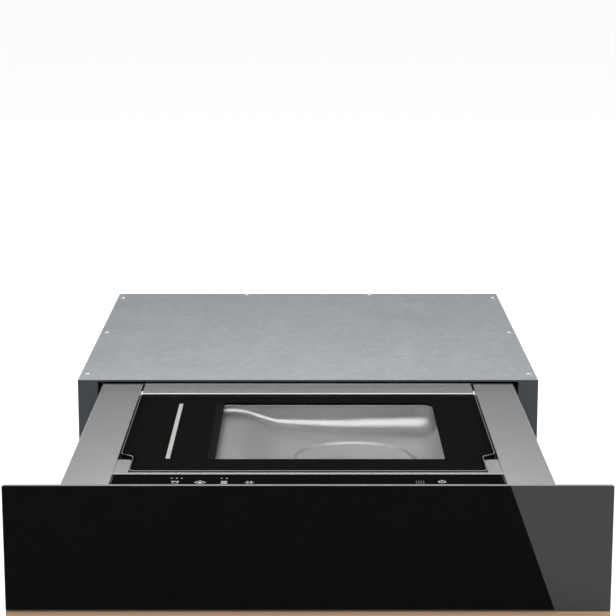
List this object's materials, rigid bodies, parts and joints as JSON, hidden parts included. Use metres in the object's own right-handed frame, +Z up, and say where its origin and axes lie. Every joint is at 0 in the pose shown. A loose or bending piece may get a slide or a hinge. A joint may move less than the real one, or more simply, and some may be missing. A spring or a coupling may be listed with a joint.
{
  "type": "vacuum sealing drawer",
  "caption": "Built-in drawer that vacuum-packs food: a steel case, telescopic slides, a glass front, and a drawn chamber with a lifting sealing bar under a hinged glass lid.",
  "frame": {"origin": "centre of the case's underside, which rests on the niche floor", "axes": "+X right as seen from the front, +Y back into the niche, +Z up; the drawer is fully out and the lid is closed"},
  "size_m": [0.597, 0.97, 0.135],
  "materials": {
    "zinc_steel": "zinc-coated sheet steel, plain mill finish",
    "dark_coat": "dark grey powder coat, fine texture",
    "brushed_steel": "stainless steel, brushed across the drawer",
    "chamber_steel": "drawn stainless steel, satin",
    "black_glass": "back-printed black float glass, polished",
    "lid_glass": "clear toughened glass with a black printed border",
    "copper_strip": "copper-coloured anodised strip, satin",
    "bearing_steel": "hardened bearing steel, polished",
    "rubber_black": "black rubber, matte",
    "clear_rubber": "clear silicone rubber",
    "black_plastic": "black moulded plastic",
    "grey_plastic": "light grey moulded plastic",
    "circuit_board": "green solder mask",
    "cast_aluminium": "die-cast aluminium, blasted",
    "seal_aluminium": "extruded aluminium, plain",
    "heat_ribbon": "nickel-chrome ribbon under woven tape",
    "motor_paint": "black enamel",
    "winding_wrap": "yellow polyester wrap"
  },
  "bodies": {
    "case": {"case_shell": "zinc_steel", "case_cover": "zinc_steel", "front_frame": "dark_coat", "mains_inlet": "black_plastic", "latch_housing": "grey_plastic", "slide_outer_left": "zinc_steel", "slide_outer_right": "zinc_steel", "slide_spacer_left": "zinc_steel", "slide_spacer_right": "zinc_steel"},
    "cage_outer_left": {"cage_outer_left": "bearing_steel"},
    "cage_outer_right": {"cage_outer_right": "bearing_steel"},
    "slide_middle_left": {"slide_middle_left": "zinc_steel"},
    "slide_middle_right": {"slide_middle_right": "zinc_steel"},
    "cage_inner_left": {"cage_inner_left": "bearing_steel"},
    "cage_inner_right": {"cage_inner_right": "bearing_steel"},
    "lid": {"lid_glass": "lid_glass", "counter_strip": "clear_rubber", "hinge_rail": "brushed_steel"},
    "seal_bar": {"sealing_bar": "seal_aluminium", "heating_strip": "heat_ribbon", "lift_piston_front": "seal_aluminium", "lift_piston_rear": "seal_aluminium"},
    "lid_switch_stem": {"lid_switch_stem": "grey_plastic"},
    "latch_plunger": {"latch_plunger": "grey_plastic"},
    "drawer": {"chamber_gasket": "rubber_black", "chamber_tub": "chamber_steel", "deck_pan": "brushed_steel", "drawer_tray": "zinc_steel", "exhaust_filter": "black_plastic", "front_bracket_left": "zinc_steel", "front_bracket_right": "zinc_steel", "front_bumpers": "rubber_black", "front_carrier": "zinc_steel", "front_glass": "black_glass", "front_strip": "copper_strip", "hinge_bearing_left": "black_plastic", "hinge_bearing_right": "black_plastic", "lid_switch": "black_plastic", "lift_cylinder_front": "cast_aluminium", "lift_cylinder_rear": "cast_aluminium", "panel_board": "circuit_board", "panel_glass": "black_glass", "panel_pod": "black_plastic", "power_board": "circuit_board", "pump_head": "cast_aluminium", "pump_hose": "rubber_black", "pump_motor": "motor_paint", "pump_mounts": "rubber_black", "side_strip_left": "brushed_steel", "side_strip_right": "brushed_steel", "slide_inner_left": "zinc_steel", "slide_inner_right": "zinc_steel", "suction_port": "cast_aluminium", "transformer": "winding_wrap", "transformer_clamp": "zinc_steel", "valve_block": "cast_aluminium"}
  },
  "joints": [
    {"name": "drawer_slide", "type": "slide", "parent": "case", "child": "drawer", "axis": [0, -1, 0], "range_m": [-0.422, 0]},
    {"name": "lid_hinge", "type": "hinge", "parent": "drawer", "child": "lid", "pos_m": [0, -0.2929, 0.114], "axis": [-1, 0, 0], "range_deg": [0, 75]},
    {"name": "seal_bar_lift", "type": "slide", "parent": "drawer", "child": "seal_bar", "axis": [0, 0, 1], "range_m": [0, 0.0026]},
    {"name": "lid_switch_press", "type": "slide", "parent": "drawer", "child": "lid_switch_stem", "axis": [0, 0, 1], "range_m": [-0.0015, 0], "stiffness_N_per_m": 150, "springref_m": 0.002},
    {"name": "latch_push", "type": "slide", "parent": "case", "child": "latch_plunger", "axis": [0, -1, 0], "range_m": [0, 0.03]},
    {"name": "cage_outer_left_run", "type": "slide", "parent": "case", "child": "cage_outer_left", "axis": [0, -1, 0], "range_m": [-0.1055, 0]},
    {"name": "slide_middle_left_run", "type": "slide", "parent": "case", "child": "slide_middle_left", "axis": [0, -1, 0], "range_m": [-0.211, 0]},
    {"name": "cage_inner_left_run", "type": "slide", "parent": "case", "child": "cage_inner_left", "axis": [0, -1, 0], "range_m": [-0.3165, 0]},
    {"name": "cage_outer_right_run", "type": "slide", "parent": "case", "child": "cage_outer_right", "axis": [0, -1, 0], "range_m": [-0.1055, 0]},
    {"name": "slide_middle_right_run", "type": "slide", "parent": "case", "child": "slide_middle_right", "axis": [0, -1, 0], "range_m": [-0.211, 0]},
    {"name": "cage_inner_right_run", "type": "slide", "parent": "case", "child": "cage_inner_right", "axis": [0, -1, 0], "range_m": [-0.3165, 0]}
  ],
  "couplings": [
    {"joint": "cage_outer_left_run", "follows": "drawer_slide", "ratio": 0.25},
    {"joint": "slide_middle_left_run", "follows": "drawer_slide", "ratio": 0.5},
    {"joint": "cage_inner_left_run", "follows": "drawer_slide", "ratio": 0.75},
    {"joint": "cage_outer_right_run", "follows": "drawer_slide", "ratio": 0.25},
    {"joint": "slide_middle_right_run", "follows": "drawer_slide", "ratio": 0.5},
    {"joint": "cage_inner_right_run", "follows": "drawer_slide", "ratio": 0.75}
  ]
}
